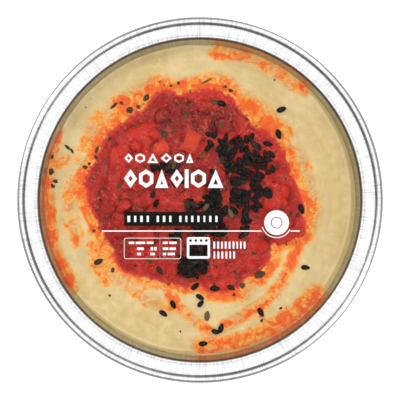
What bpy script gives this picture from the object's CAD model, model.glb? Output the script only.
"""Looks of a sealed foil tray of hummus with a pepper topping.

The tray, the hummus, the pepper sauce, its seeds and herbs, the clear film and
the film's print are each a class below. A piece is modelled from a primitive in
its own place, in metres, with +Z up and the tray standing on z = 0.
"""

from __future__ import annotations

import logging
import math
import random
from collections.abc import Callable, Sequence
from dataclasses import dataclass
from enum import Enum

import bmesh
import bpy
from mathutils import Matrix, Vector, noise
from mathutils.bvhtree import BVHTree


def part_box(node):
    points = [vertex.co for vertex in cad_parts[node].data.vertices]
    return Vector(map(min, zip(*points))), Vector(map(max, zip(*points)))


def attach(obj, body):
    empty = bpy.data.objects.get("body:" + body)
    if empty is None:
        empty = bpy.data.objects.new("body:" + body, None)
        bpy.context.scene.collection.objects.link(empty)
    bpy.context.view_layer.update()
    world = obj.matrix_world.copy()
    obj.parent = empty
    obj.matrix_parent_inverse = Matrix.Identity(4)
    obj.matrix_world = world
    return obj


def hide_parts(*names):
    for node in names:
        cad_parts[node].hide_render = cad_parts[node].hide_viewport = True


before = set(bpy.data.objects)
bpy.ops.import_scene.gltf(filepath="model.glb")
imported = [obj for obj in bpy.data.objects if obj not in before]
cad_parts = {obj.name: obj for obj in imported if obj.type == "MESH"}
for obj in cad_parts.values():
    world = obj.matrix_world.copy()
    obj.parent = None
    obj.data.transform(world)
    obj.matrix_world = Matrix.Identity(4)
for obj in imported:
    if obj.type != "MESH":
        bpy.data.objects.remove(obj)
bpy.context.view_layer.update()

log = logging.getLogger("hummus_tray")

MM = 0.001
BODY = "root"
DOWN = Vector((0.0, 0.0, -1.0))
LOOKOUT = 50.0  # height in millimetres from which a surface is looked down on
FILL = 23.0  # height in millimetres of the hummus at the wall
Ring = tuple[float, float]
Place = tuple[float, float, float]
PrintRow = tuple[float, float, float, tuple[float, ...], float]


class Slot(Enum):
    """Material slots of the part that a piece takes its finish from."""

    FOIL = "tray_foil"
    HUMMUS = "hummus"
    PEPPER = "pepper"
    FILM = "film"


# --------------------------------------------------------------------------
# Modelling steps
# --------------------------------------------------------------------------


def only(obj: bpy.types.Object) -> None:
    """Selects obj alone and makes it the active object.

    Args:
        obj: The object to select.
    """
    bpy.ops.object.select_all(action="DESELECT")
    obj.select_set(True)
    bpy.context.view_layer.objects.active = obj


def settle(obj: bpy.types.Object) -> bpy.types.Object:
    """Moves an object's place, turn and scale into its mesh.

    Args:
        obj: The object to settle.

    Returns:
        The same object, at the origin.
    """
    only(obj)
    bpy.ops.object.transform_apply(location=True, rotation=True, scale=True)
    return obj


def apply_modifier(obj: bpy.types.Object, kind: str, **settings: object) -> None:
    """Adds a modifier with these settings and applies it.

    Args:
        obj: The object to change.
        kind: The modifier's type.
        **settings: The modifier's properties.
    """
    only(obj)
    modifier = obj.modifiers.new(kind.title(), kind)
    for name, value in settings.items():
        setattr(modifier, name, value)
    bpy.ops.object.modifier_apply(modifier=modifier.name)


def ring_stack(name: str, rings: Sequence[Ring], segments: int) -> bpy.types.Object:
    """Models a round piece from a circle that is extruded from ring to ring.

    Args:
        name: The new object's name.
        rings: (radius, height) of each ring in millimetres. A first or last
            radius of 0 closes on a pole.
        segments: Points of each ring.

    Returns:
        The new object, with outward faces.
    """
    closed = [ring for ring in rings if ring[0] > 0.0]
    radius, height = closed[0]
    bpy.ops.object.select_all(action="DESELECT")
    bpy.ops.mesh.primitive_circle_add(
        vertices=segments, radius=radius * MM, location=(0.0, 0.0, height * MM)
    )
    obj = bpy.context.active_object
    obj.name = name
    settle(obj)
    bpy.ops.object.mode_set(mode="EDIT")
    bpy.ops.mesh.select_all(action="SELECT")
    if rings[0][0] == 0.0:
        close_on_pole(rings[0][1] - height)
        select_ring(obj, segments)
    for next_radius, next_height in closed[1:]:
        bpy.ops.mesh.extrude_edges_move()
        scale = next_radius / radius
        bpy.ops.transform.resize(value=(scale, scale, 1.0), center_override=(0.0, 0.0, 0.0))
        bpy.ops.transform.translate(value=(0.0, 0.0, (next_height - height) * MM))
        radius, height = next_radius, next_height
    if rings[-1][0] == 0.0:
        close_on_pole(rings[-1][1] - height)
    bpy.ops.mesh.select_all(action="SELECT")
    bpy.ops.mesh.remove_doubles(threshold=1e-6)
    bpy.ops.mesh.normals_make_consistent(inside=False)
    bpy.ops.object.mode_set(mode="OBJECT")
    bpy.ops.object.shade_smooth()
    return obj


def close_on_pole(rise: float) -> None:
    """Extrudes the selected ring and merges it on the axis.

    Args:
        rise: Height of the pole over the ring, in millimetres.
    """
    bpy.ops.mesh.extrude_edges_move()
    bpy.ops.transform.translate(value=(0.0, 0.0, rise * MM))
    bpy.ops.mesh.merge(type="CENTER")


def select_ring(obj: bpy.types.Object, segments: int) -> None:
    """Selects the first ring of a piece, whose points come first in its mesh.

    Args:
        obj: The object in edit mode.
        segments: Points of the ring.
    """
    shape = bmesh.from_edit_mesh(obj.data)
    shape.verts.ensure_lookup_table()
    for part in (*shape.verts, *shape.edges, *shape.faces):
        part.select = False
    for index in range(segments):
        shape.verts[index].select = True
    for edge in shape.edges:
        edge.select = all(v.index < segments for v in edge.verts)
    bmesh.update_edit_mesh(obj.data)


def move_points(obj: bpy.types.Object, rule: Callable[[Vector], Vector]) -> None:
    """Shapes a mesh point by point.

    Args:
        obj: The object to shape.
        rule: Gives a point's new place, in millimetres, from its old one.
    """
    for vertex in obj.data.vertices:
        vertex.co = rule(vertex.co / MM) * MM
    obj.data.update()


def set_values(mesh: bpy.types.Mesh, name: str, values: Sequence[float]) -> None:
    """Stores a value on every point of a mesh.

    Args:
        mesh: The mesh that gets the attribute.
        name: The attribute's name.
        values: One value for each point.
    """
    made = mesh.attributes.new(name, "FLOAT", "POINT")
    made.data.foreach_set("value", values)


def set_attribute(
    obj: bpy.types.Object, name: str, rule: Callable[[Vector], float]
) -> None:
    """Stores a value that follows from each point's place.

    Args:
        obj: The object that gets the attribute.
        name: The attribute's name.
        rule: Gives the value from a point's place in millimetres.
    """
    set_values(obj.data, name, [rule(v.co / MM) for v in obj.data.vertices])


def merge_pieces(name: str, pieces: Sequence[bpy.types.Object]) -> bpy.types.Object:
    """Joins pieces into one object.

    Args:
        name: The joined object's name.
        pieces: The objects to join, which are used up.

    Returns:
        The joined object.
    """
    only(pieces[0])
    for piece in pieces:
        piece.select_set(True)
    if len(pieces) > 1:
        bpy.ops.object.join()
    pieces[0].name = name
    return pieces[0]


@dataclass(frozen=True)
class Placement:
    """Where one copy of a scattered shape goes, and its shade."""

    matrix: Matrix
    tint: float


def copies(
    name: str, shapes: Sequence[bpy.types.Object], places: Sequence[Placement]
) -> bpy.types.Object:
    """Makes one piece of many copies of a few shapes, and removes the shapes.

    Args:
        name: The new piece's name.
        shapes: The modelled shapes, used in turn.
        places: Where the copies go.

    Returns:
        The joined piece, with each copy's shade in its "tint" attribute.
    """
    made = []
    for index, place in enumerate(places):
        mesh = shapes[index % len(shapes)].data.copy()
        mesh.transform(place.matrix)
        set_values(mesh, "tint", [place.tint] * len(mesh.vertices))
        obj = bpy.data.objects.new(f"{name}_{index}", mesh)
        bpy.context.scene.collection.objects.link(obj)
        made.append(obj)
    for shape in shapes:
        bpy.data.objects.remove(shape)
    return merge_pieces(name, made)


def smoothstep(low: float, high: float, value: float) -> float:
    """Eases from 0 at low to 1 at high.

    Args:
        low: Where the ease starts.
        high: Where it ends, which may be below low.
        value: The place on it.

    Returns:
        The eased share.
    """
    t = min(1.0, max(0.0, (value - low) / (high - low)))
    return t * t * (3.0 - 2.0 * t)


def ripple(x: float, y: float, size: float, seed: float = 0.0) -> float:
    """Gives smooth noise of about -1 to 1.

    Args:
        x: Place in millimetres.
        y: Place in millimetres.
        size: Size of a swell in millimetres.
        seed: Picks another pattern.

    Returns:
        The noise's value there.
    """
    return noise.noise(Vector((x / size, y / size, seed)))


def height_under(tree: BVHTree, x: float, y: float, usual: float) -> float:
    """Finds how high a surface lies at a place.

    Args:
        tree: The surface.
        x: Place in millimetres.
        y: Place in millimetres.
        usual: The height where there is no surface.

    Returns:
        The height in millimetres.
    """
    hit = tree.ray_cast(Vector((x * MM, y * MM, LOOKOUT * MM)), DOWN)[0]
    return hit.z / MM if hit else usual


# --------------------------------------------------------------------------
# Node trees
# --------------------------------------------------------------------------


class Graph:
    """A node tree with one call for each kind of node it uses."""

    def __init__(self, tree: bpy.types.NodeTree) -> None:
        """Takes the tree to add to."""
        self.tree = tree

    def add(
        self, kind: str, inputs: dict[str | int, object] | None = None, **settings: object
    ) -> bpy.types.Node:
        """Adds a node.

        Args:
            kind: The node's type, without its ShaderNode prefix.
            inputs: Values of its inputs, or the sockets that feed them.
            **settings: The node's properties.

        Returns:
            The new node.
        """
        node = self.tree.nodes.new("ShaderNode" + kind)
        for name, value in settings.items():
            setattr(node, name, value)
        for name, value in (inputs or {}).items():
            if isinstance(value, bpy.types.NodeSocket):
                self.tree.links.new(value, node.inputs[name])
            else:
                node.inputs[name].default_value = value
        return node

    def math(self, operation: str, a: object, b: object = 0.0, clamp: bool = False) -> object:
        """Adds a Math node and returns its output."""
        node = self.add("Math", {0: a, 1: b}, operation=operation, use_clamp=clamp)
        return node.outputs[0]

    def times(self, a: object, b: object) -> object:
        """Adds a Math node that multiplies and returns its output."""
        return self.math("MULTIPLY", a, b)

    def blend(self, share: object, a: object, b: object, kind: str = "MIX") -> object:
        """Adds a colour mix from a to b and returns its output."""
        node = self.add("Mix", {0: share, 6: a, 7: b}, data_type="RGBA", blend_type=kind)
        return node.outputs[2]

    def stain(self, share: object, body: object, tone: object) -> object:
        """Adds a clear stain of this tone over a colour and returns the result."""
        return self.blend(share, body, tone, "MULTIPLY")

    def ease(
        self, value: object, low: object, high: object, start: float = 0.0, end: float = 1.0
    ) -> object:
        """Adds a smooth Map Range from low..high to start..end."""
        inputs = {0: value, 1: low, 2: high, 3: start, 4: end}
        node = self.add("MapRange", inputs, interpolation_type="SMOOTHSTEP")
        return node.outputs[0]

    def attribute(self, name: str) -> object:
        """Adds an Attribute node and returns its value."""
        return self.add("Attribute", attribute_name=name).outputs["Fac"]

    def group(self, tree: bpy.types.NodeTree, **inputs: object) -> object:
        """Places an effect's node group and returns its first output."""
        node = self.add("Group", node_tree=tree)
        for name, value in inputs.items():
            socket = node.inputs[name.replace("_", " ").capitalize()]
            if isinstance(value, bpy.types.NodeSocket):
                self.tree.links.new(value, socket)
            else:
                socket.default_value = value
        return node.outputs[0]


class Effects:
    """The effects that several finishes share, each a node group."""

    def __init__(self) -> None:
        """Builds every effect once."""
        self.mottle = self._mottle()
        self.hairlines = self._hairlines()
        self.radial = self._radial()

    @staticmethod
    def _start(name: str, inputs: dict[str, float], output: str) -> tuple[Graph, dict, object]:
        """Starts a group.

        Args:
            name: The group's name.
            inputs: Its inputs and their usual values.
            output: The name of its output.

        Returns:
            Its graph, its input sockets by name, and its output node.
        """
        tree = bpy.data.node_groups.new(name, "ShaderNodeTree")
        for label, value in inputs.items():
            socket = tree.interface.new_socket(
                name=label, in_out="INPUT", socket_type="NodeSocketFloat"
            )
            socket.default_value = value
        tree.interface.new_socket(name=output, in_out="OUTPUT", socket_type="NodeSocketFloat")
        graph = Graph(tree)
        source = tree.nodes.new("NodeGroupInput")
        sink = tree.nodes.new("NodeGroupOutput")
        return graph, {label: source.outputs[label] for label in inputs}, sink

    @staticmethod
    def _moved(graph: Graph, given: dict) -> tuple[object, object]:
        """Adds a pattern's place, moved by its seed, and its scale."""
        place = graph.add("TexCoord").outputs["Object"]
        shift = graph.add("CombineXYZ", {2: given["Seed"]}).outputs[0]
        moved = graph.add("VectorMath", {0: place, 1: shift}, operation="ADD").outputs[0]
        return moved, graph.math("DIVIDE", 1.0 / MM, given["Size"])

    def _mottle(self) -> bpy.types.NodeTree:
        """Builds soft cloudy patches. Size is in millimetres, and Low and High
        are where the mask starts and ends."""
        usual = {"Size": 5.0, "Seed": 0.0, "Detail": 3.0, "Warp": 0.0, "Low": 0.3, "High": 0.7}
        graph, given, sink = self._start("Mottle", usual, "Mask")
        moved, scale = self._moved(graph, given)
        cloud = graph.add(
            "TexNoise",
            {
                "Vector": moved,
                "Scale": scale,
                "Detail": given["Detail"],
                "Distortion": given["Warp"],
            },
        )
        mask = graph.ease(cloud.outputs["Fac"], given["Low"], given["High"])
        graph.tree.links.new(mask, sink.inputs[0])
        return graph.tree

    def _hairlines(self) -> bpy.types.NodeTree:
        """Builds thin curly lines that come and go. Size is that of the curls,
        Width their share of it, and Cover how much of the surface has them."""
        usual = {"Size": 2.0, "Seed": 0.0, "Width": 0.03, "Cover": 0.5, "Warp": 1.0}
        graph, given, sink = self._start("Hairlines", usual, "Mask")
        moved, scale = self._moved(graph, given)
        curls = graph.add(
            "TexNoise",
            {"Vector": moved, "Scale": scale, "Detail": 1.0, "Distortion": given["Warp"]},
        )
        gap = graph.math("ABSOLUTE", graph.math("SUBTRACT", curls.outputs["Fac"], 0.5))
        line = graph.math("SUBTRACT", 1.0, graph.ease(gap, 0.0, given["Width"]))
        wide = graph.times(scale, 0.45)
        gate = graph.add("TexNoise", {"Vector": moved, "Scale": wide, "Detail": 1.0})
        edge = graph.math("SUBTRACT", 1.0, given["Cover"])
        shown = graph.ease(gate.outputs["Fac"], graph.math("SUBTRACT", edge, 0.12), edge)
        graph.tree.links.new(graph.times(line, shown), sink.inputs[0])
        return graph.tree

    def _radial(self) -> bpy.types.NodeTree:
        """Builds fine lines that run outwards from the tray's axis. Lines is
        how many go round, and Drift how much they change along their length."""
        usual = {"Lines": 300.0, "Drift": 0.05, "Low": 0.3, "High": 0.7, "Seed": 0.0}
        graph, given, sink = self._start("Radial lines", usual, "Mask")
        place = graph.add("TexCoord").outputs["Object"]
        parts = graph.add("SeparateXYZ", {0: place}).outputs
        flat = graph.add("CombineXYZ", {0: parts[0], 1: parts[1]}).outputs[0]
        round_ = graph.add("VectorMath", {0: flat}, operation="NORMALIZE").outputs[0]
        reach = graph.add("VectorMath", {0: flat}, operation="LENGTH").outputs["Value"]
        drift = graph.times(graph.math("DIVIDE", reach, MM), given["Drift"])
        turn = graph.add("VectorMath", {0: round_}, operation="SCALE")
        graph.tree.links.new(graph.math("DIVIDE", given["Lines"], 6.28), turn.inputs["Scale"])
        lift = graph.add("CombineXYZ", {2: graph.math("ADD", drift, given["Seed"])}).outputs[0]
        where = graph.add("VectorMath", {0: turn.outputs[0], 1: lift}, operation="ADD")
        lines = graph.add(
            "TexNoise", {"Vector": where.outputs[0], "Scale": 1.0, "Detail": 2.0}
        )
        mask = graph.ease(lines.outputs["Fac"], given["Low"], given["High"])
        graph.tree.links.new(mask, sink.inputs[0])
        return graph.tree


def colour(red: int, green: int, blue: int) -> tuple[float, float, float, float]:
    """Gives a display colour of 0 to 255 as the linear one a shader takes.

    Args:
        red: Red on display.
        green: Green on display.
        blue: Blue on display.

    Returns:
        The linear colour with an alpha of 1.
    """

    def linear(level: int) -> float:
        share = level / 255.0
        return share / 12.92 if share <= 0.04045 else ((share + 0.055) / 1.055) ** 2.4

    return (linear(red), linear(green), linear(blue), 1.0)


def new_material(name: str, **values: object) -> tuple[bpy.types.Material, Graph, object]:
    """Makes a material with one Principled shader.

    Args:
        name: The material's name.
        **values: The shader's plain values, by input name with underscores.

    Returns:
        The material, its graph and its shader node.
    """
    material = bpy.data.materials.new(name)
    material.use_nodes = True
    shader = material.node_tree.nodes["Principled BSDF"]
    for label, value in values.items():
        shader.inputs[label.replace("_", " ")].default_value = value
    return material, Graph(material.node_tree), shader


def feed(graph: Graph, shader: bpy.types.Node, **sockets: object) -> None:
    """Links sockets to a shader's inputs, given by name with underscores."""
    for label, socket in sockets.items():
        graph.tree.links.new(socket, shader.inputs[label.replace("_", " ")])


def bump(graph: Graph, height: object, strength: float, depth: float) -> object:
    """Adds a Bump node.

    Args:
        graph: The material's graph.
        height: The socket with the height.
        strength: How strongly it shows.
        depth: Its full height in millimetres.

    Returns:
        The bumped normal.
    """
    inputs = {"Strength": strength, "Distance": depth * MM, "Height": height}
    return graph.add("Bump", inputs).outputs["Normal"]


# --------------------------------------------------------------------------
# Finishes
# --------------------------------------------------------------------------


@dataclass(frozen=True)
class FoilFinish:
    """Bright rolled aluminium with fine forming lines, dulled where it is bent
    or smeared, as its "dulled" attribute says."""

    tone: tuple[int, int, int] = (230, 231, 232)
    line_tone: tuple[int, int, int] = (184, 185, 187)
    dark_tone: tuple[int, int, int] = (100, 95, 88)
    roughness: float = 0.2
    line_depth: float = 0.05

    def build(self, effects: Effects) -> bpy.types.Material:
        """Makes the material.

        Args:
            effects: The shared effects.

        Returns:
            The finished material.
        """
        material, graph, shader = new_material("Rolled foil", Metallic=1.0)
        lines = graph.group(effects.radial, lines=620.0, drift=0.12, low=0.38, high=0.6)
        fine = graph.group(effects.radial, lines=1700.0, drift=0.2, low=0.36, high=0.62)
        patches = graph.group(effects.mottle, size=7.0, detail=2.0, low=0.35, high=0.7)
        dulled = graph.attribute("dulled")
        scored = graph.times(graph.times(lines, fine), 0.7)
        tone = graph.blend(scored, colour(*self.tone), colour(*self.line_tone))
        tone = graph.blend(dulled, tone, colour(*self.dark_tone))
        worn = graph.ease(patches, 0.0, 1.0, self.roughness, self.roughness + 0.1)
        rough = graph.math("ADD", worn, graph.times(dulled, 0.35))
        height = graph.math("ADD", lines, graph.times(fine, 0.5))
        soft = bump(graph, height, 0.25, self.line_depth)
        feed(graph, shader, Base_Color=tone, Roughness=rough, Normal=soft)
        return material


@dataclass(frozen=True)
class HummusFinish:
    """Moist cream paste, marbled with pepper oil where its attributes say so."""

    pale: tuple[int, int, int] = (224, 200, 148)
    cream: tuple[int, int, int] = (204, 177, 121)
    deep: tuple[int, int, int] = (180, 151, 86)
    zest: tuple[int, int, int] = (200, 178, 92)
    drop: tuple[int, int, int] = (246, 232, 196)
    wall_shade: tuple[int, int, int] = (177, 150, 92)
    amber: tuple[int, int, int] = (255, 208, 116)
    oil: tuple[int, int, int] = (255, 160, 52)
    paprika: tuple[int, int, int] = (224, 84, 22)
    red: tuple[int, int, int] = (196, 44, 34)

    def build(self, effects: Effects) -> bpy.types.Material:
        """Makes the material.

        Args:
            effects: The shared effects.

        Returns:
            The finished material.
        """
        material, graph, shader = new_material(
            "Hummus paste",
            Subsurface_Weight=0.15,
            Subsurface_Scale=0.002,
            Specular_IOR_Level=0.3,
        )
        small = graph.group(effects.mottle, size=2.6, seed=3.0, detail=5.0, low=0.25, high=0.75)
        specks = graph.group(effects.mottle, size=0.8, seed=5.0, detail=4.0, low=0.3, high=0.7)
        body = self._paste(graph, effects, small)
        body = self._oil(graph, effects, body, specks)
        drops = graph.group(effects.mottle, size=0.75, seed=9.0, detail=1.0, low=0.66, high=0.76)
        body = graph.blend(graph.times(drops, 0.3), body, colour(*self.drop))
        gloss = graph.ease(small, 0.0, 1.0, 0.42, 0.6)
        grain = graph.math("ADD", small, graph.times(specks, 0.25))
        feed(
            graph,
            shader,
            Base_Color=body,
            Roughness=gloss,
            Normal=bump(graph, grain, 0.4, 0.16),
        )
        return material

    def _paste(self, graph: Graph, effects: Effects, small: object) -> object:
        """Colours the clean paste, with its spreading marks and its rim.

        Args:
            graph: The material's graph.
            effects: The shared effects.
            small: Mask of its small patches.

        Returns:
            The colour.
        """
        broad = graph.group(effects.mottle, size=16.0, detail=3.0, low=0.3, high=0.7)
        sweeps = graph.group(effects.radial, lines=9.0, drift=0.55, low=0.35, high=0.65)
        body = graph.blend(broad, colour(*self.cream), colour(*self.pale))
        body = graph.blend(graph.times(sweeps, 0.4), body, colour(*self.pale))
        zest = graph.times(graph.attribute("zest"), small)
        body = graph.blend(zest, body, colour(*self.zest))
        body = graph.blend(graph.times(small, 0.3), body, colour(*self.deep))
        shine = graph.times(graph.attribute("shine"), 0.22)
        body = graph.blend(shine, body, colour(*self.drop))
        rim = graph.times(graph.attribute("rim"), 0.7)
        return graph.blend(rim, body, colour(*self.wall_shade))

    def _oil(self, graph: Graph, effects: Effects, body: object, specks: object) -> object:
        """Marbles the paste with oil: an amber wash, orange veins, then flecks.

        Args:
            graph: The material's graph.
            effects: The shared effects.
            body: The paste's colour.
            specks: Mask of its finest grain.

        Returns:
            The colour.
        """
        clouds = graph.group(
            effects.mottle, size=9.0, seed=11.0, detail=3.0, warp=0.8, low=0.3, high=0.7
        )
        veins = graph.group(
            effects.mottle, size=3.6, seed=17.0, detail=4.0, warp=1.0, low=0.3, high=0.7
        )

        def torn(stain: object, cloud: float, vein: float, speck: float) -> object:
            """Roughens a stain's mask with this much of each pattern, and
            hardly where there is no stain."""
            share = 0.0
            for pattern, weight in ((clouds, cloud), (veins, vein), (specks, speck)):
                swing = graph.times(graph.math("SUBTRACT", pattern, 0.5), weight)
                share = graph.math("ADD", swing, share)
            near = graph.ease(stain, 0.0, 0.2, 0.25, 1.0)
            return graph.math("ADD", stain, graph.times(share, near))

        oil = graph.attribute("oil")
        paprika = graph.attribute("paprika")
        oil = graph.math("POWER", oil, 1.4)
        soft = graph.times(graph.ease(oil, 0.0, 0.6), 0.6)
        body = graph.stain(soft, body, colour(*self.amber))
        wash = graph.ease(torn(oil, 0.9, 0.7, 0.15), 0.04, 0.6)
        body = graph.blend(graph.times(wash, 0.55), body, colour(*self.drop))
        body = graph.stain(wash, body, colour(*self.amber))
        long = graph.group(
            effects.hairlines, size=7.0, seed=21.0, width=0.07, cover=0.62, warp=1.2
        )
        short = graph.group(
            effects.hairlines, size=3.2, seed=23.0, width=0.08, cover=0.58, warp=1.6
        )
        wisps = graph.math("MAXIMUM", long, graph.times(short, 0.8))
        wisps = graph.times(wisps, graph.ease(oil, 0.02, 0.5))
        body = graph.stain(graph.times(wisps, 0.7), body, colour(*self.oil))
        streaks = graph.ease(torn(oil, 1.0, 1.3, 0.4), 0.45, 1.25)
        body = graph.stain(graph.times(streaks, 0.9), body, colour(*self.oil))
        flecks = graph.ease(torn(oil, 0.4, 0.9, 0.7), 1.0, 1.6)
        body = graph.blend(graph.times(flecks, 0.7), body, colour(*self.paprika))
        smears = graph.ease(torn(paprika, 0.4, 0.8, 0.3), 0.35, 1.05)
        body = graph.blend(graph.times(smears, 0.85), body, colour(*self.paprika))
        edge = graph.ease(torn(graph.attribute("red"), 0.0, 0.5, 0.3), 0.3, 0.9)
        return graph.blend(edge, body, colour(*self.red))


@dataclass(frozen=True)
class SauceFinish:
    """Glossy red pepper sauce with darker hollows and pale fibres."""

    dark: tuple[int, int, int] = (84, 9, 6)
    red: tuple[int, int, int] = (146, 20, 14)
    bright: tuple[int, int, int] = (198, 36, 26)
    orange: tuple[int, int, int] = (218, 68, 30)
    fibre: tuple[int, int, int] = (218, 124, 104)

    def build(self, effects: Effects) -> bpy.types.Material:
        """Makes the material.

        Args:
            effects: The shared effects.

        Returns:
            The finished material.
        """
        material, graph, shader = new_material(
            "Pepper sauce",
            Subsurface_Weight=0.1,
            Subsurface_Scale=0.001,
            Specular_IOR_Level=0.13,
        )
        broad = graph.group(effects.mottle, size=8.0, detail=3.0, warp=0.8, low=0.35, high=0.65)
        small = graph.group(effects.mottle, size=1.8, seed=2.0, detail=4.0, low=0.25, high=0.75)
        tint = graph.attribute("tint")
        body = graph.blend(broad, colour(*self.red), colour(*self.bright))
        body = graph.blend(graph.ease(tint, 0.1, 0.6), body, colour(*self.bright))
        body = graph.blend(graph.ease(tint, 0.6, 1.0), body, colour(*self.orange))
        ridge = graph.times(graph.attribute("ridge"), 0.6)
        body = graph.blend(ridge, body, colour(*self.bright))
        crease = graph.times(graph.attribute("hollow"), 0.75)
        crease = graph.math("ADD", crease, graph.times(graph.attribute("deep"), 0.8))
        shade = graph.math("ADD", crease, graph.times(small, 0.22), True)
        body = graph.blend(shade, body, colour(*self.dark))
        curls = graph.group(
            effects.hairlines, size=2.6, seed=1.0, width=0.024, cover=0.6, warp=1.5
        )
        wisps = graph.group(
            effects.hairlines, size=1.5, seed=7.0, width=0.035, cover=0.52, warp=2.0
        )
        fibres = graph.math("MAXIMUM", curls, graph.times(wisps, 0.6))
        body = graph.blend(graph.times(fibres, 0.55), body, colour(*self.fibre))
        gloss = graph.ease(small, 0.0, 1.0, 0.2, 0.36)
        relief = graph.math("ADD", small, graph.times(fibres, 0.5))
        feed(
            graph,
            shader,
            Base_Color=body,
            Roughness=gloss,
            Normal=bump(graph, relief, 0.3, 0.12),
        )
        return material


@dataclass(frozen=True)
class SeedFinish:
    """Hulls of black sesame, a few of them brown or tan."""

    black: tuple[int, int, int] = (3, 3, 3)
    grey: tuple[int, int, int] = (22, 22, 23)
    brown: tuple[int, int, int] = (62, 48, 38)
    tan: tuple[int, int, int] = (122, 98, 60)
    roughness: float = 0.38

    def build(self, effects: Effects) -> bpy.types.Material:
        """Makes the material.

        Args:
            effects: The shared effects.

        Returns:
            The finished material.
        """
        material, graph, shader = new_material(
            "Sesame hull", Roughness=self.roughness, Specular_IOR_Level=0.09
        )
        tint = graph.attribute("tint")
        pits = graph.group(effects.mottle, size=0.5, detail=3.0, low=0.3, high=0.7)
        crown = graph.attribute("crown")
        ridge = graph.ease(crown, 0.45, 1.0)
        hull = graph.blend(ridge, colour(*self.black), colour(*self.grey))
        body = graph.blend(graph.ease(tint, 0.3, 0.75), hull, colour(*self.brown))
        body = graph.blend(graph.ease(tint, 0.8, 1.0), body, colour(*self.tan))
        rim = graph.ease(crown, 0.0, 0.55, 0.55, 0.0)
        body = graph.blend(rim, body, colour(*self.black))
        body = graph.blend(graph.times(pits, 0.06), body, colour(*self.tan))
        feed(graph, shader, Base_Color=body, Normal=bump(graph, pits, 0.4, 0.08))
        return material


@dataclass(frozen=True)
class HerbFinish:
    """Dried green herbs, olive to brown."""

    olive: tuple[int, int, int] = (82, 62, 22)
    brown: tuple[int, int, int] = (48, 28, 14)
    pale: tuple[int, int, int] = (122, 88, 42)

    def build(self, effects: Effects) -> bpy.types.Material:
        """Makes the material.

        Args:
            effects: The shared effects.

        Returns:
            The finished material.
        """
        material, graph, shader = new_material("Dried herb", Roughness=0.6, Specular_IOR_Level=0.2)
        tint = graph.attribute("tint")
        veins = graph.group(effects.mottle, size=0.7, detail=4.0, low=0.3, high=0.7)
        body = graph.blend(tint, colour(*self.brown), colour(*self.olive))
        body = graph.blend(graph.times(veins, 0.35), body, colour(*self.pale))
        feed(graph, shader, Base_Color=body, Normal=bump(graph, veins, 0.4, 0.1))
        return material


@dataclass(frozen=True)
class FilmFinish:
    """Clear film, nearly unseen from above and glossy along its surface."""

    bend: float = 1.12
    roughness: float = 0.06

    def build(self, effects: Effects) -> bpy.types.Material:
        """Makes the material.

        Args:
            effects: The shared effects.

        Returns:
            The finished material.
        """
        material, graph, shader = new_material(
            "Clear film",
            Base_Color=(1.0, 1.0, 1.0, 1.0),
            Metallic=1.0,
            Roughness=self.roughness,
        )
        creases = graph.group(effects.mottle, size=22.0, detail=2.0, low=0.2, high=0.8)
        shine = graph.add("Fresnel", {"IOR": self.bend}).outputs[0]
        inside = graph.add("NewGeometry").outputs["Backfacing"]
        outside = graph.math("SUBTRACT", 1.0, inside)
        feed(
            graph,
            shader,
            Alpha=graph.times(shine, outside),
            Normal=bump(graph, creases, 0.2, 0.4),
        )
        return material


@dataclass(frozen=True)
class InkFinish:
    """Opaque print on the film, with a slightly uneven coat."""

    name: str
    tone: tuple[int, int, int]
    thin: tuple[int, int, int]

    def build(self, effects: Effects) -> bpy.types.Material:
        """Makes the material.

        Args:
            effects: The shared effects.

        Returns:
            The finished material.
        """
        material, graph, shader = new_material(self.name, Roughness=0.5, Specular_IOR_Level=0.06)
        coat = graph.group(effects.mottle, size=3.0, detail=3.0, low=0.35, high=0.65)
        tone = graph.blend(graph.times(coat, 0.5), colour(*self.tone), colour(*self.thin))
        feed(graph, shader, Base_Color=tone)
        return material


# --------------------------------------------------------------------------
# The tray
# --------------------------------------------------------------------------


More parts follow.
